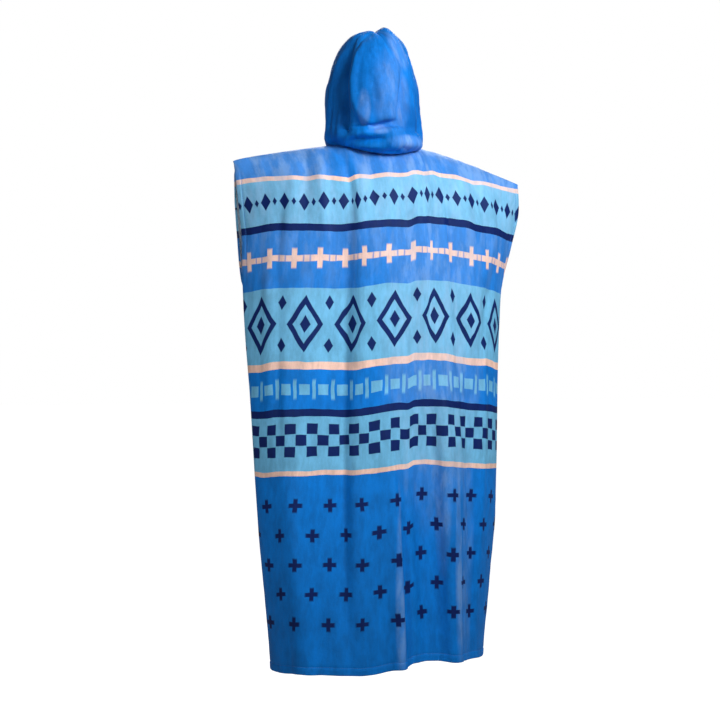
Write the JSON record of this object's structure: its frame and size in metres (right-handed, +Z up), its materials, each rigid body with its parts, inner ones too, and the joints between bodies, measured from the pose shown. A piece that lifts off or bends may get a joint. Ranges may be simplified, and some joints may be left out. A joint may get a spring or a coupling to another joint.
{
  "type": "hooded bath poncho",
  "caption": "Long hooded bath poncho of printed towelling, as worn with its hood up: a back and a front panel sewn at the shoulders and sides, with arm slits and a filled-out hood.",
  "frame": {"origin": "the middle of the neck opening, level with the inner ends of the shoulder seams, where a wearer's neck and shoulders hold the garment up", "axes": "+Z up, +Y the way the wearer faces, +X to the wearer's right; the back of the garment is on the -Y side"},
  "size_m": [0.6941, 0.3247, 1.4729],
  "materials": {
    "printed_towelling": "velour towelling, printed face, matt",
    "hood_towelling": "velour towelling, plain dyed face, matt"
  },
  "bodies": {
    "root": {"back_panel": "printed_towelling", "front_panel": "printed_towelling", "hood_left": "hood_towelling", "hood_right": "hood_towelling"}
  },
  "joints": []
}
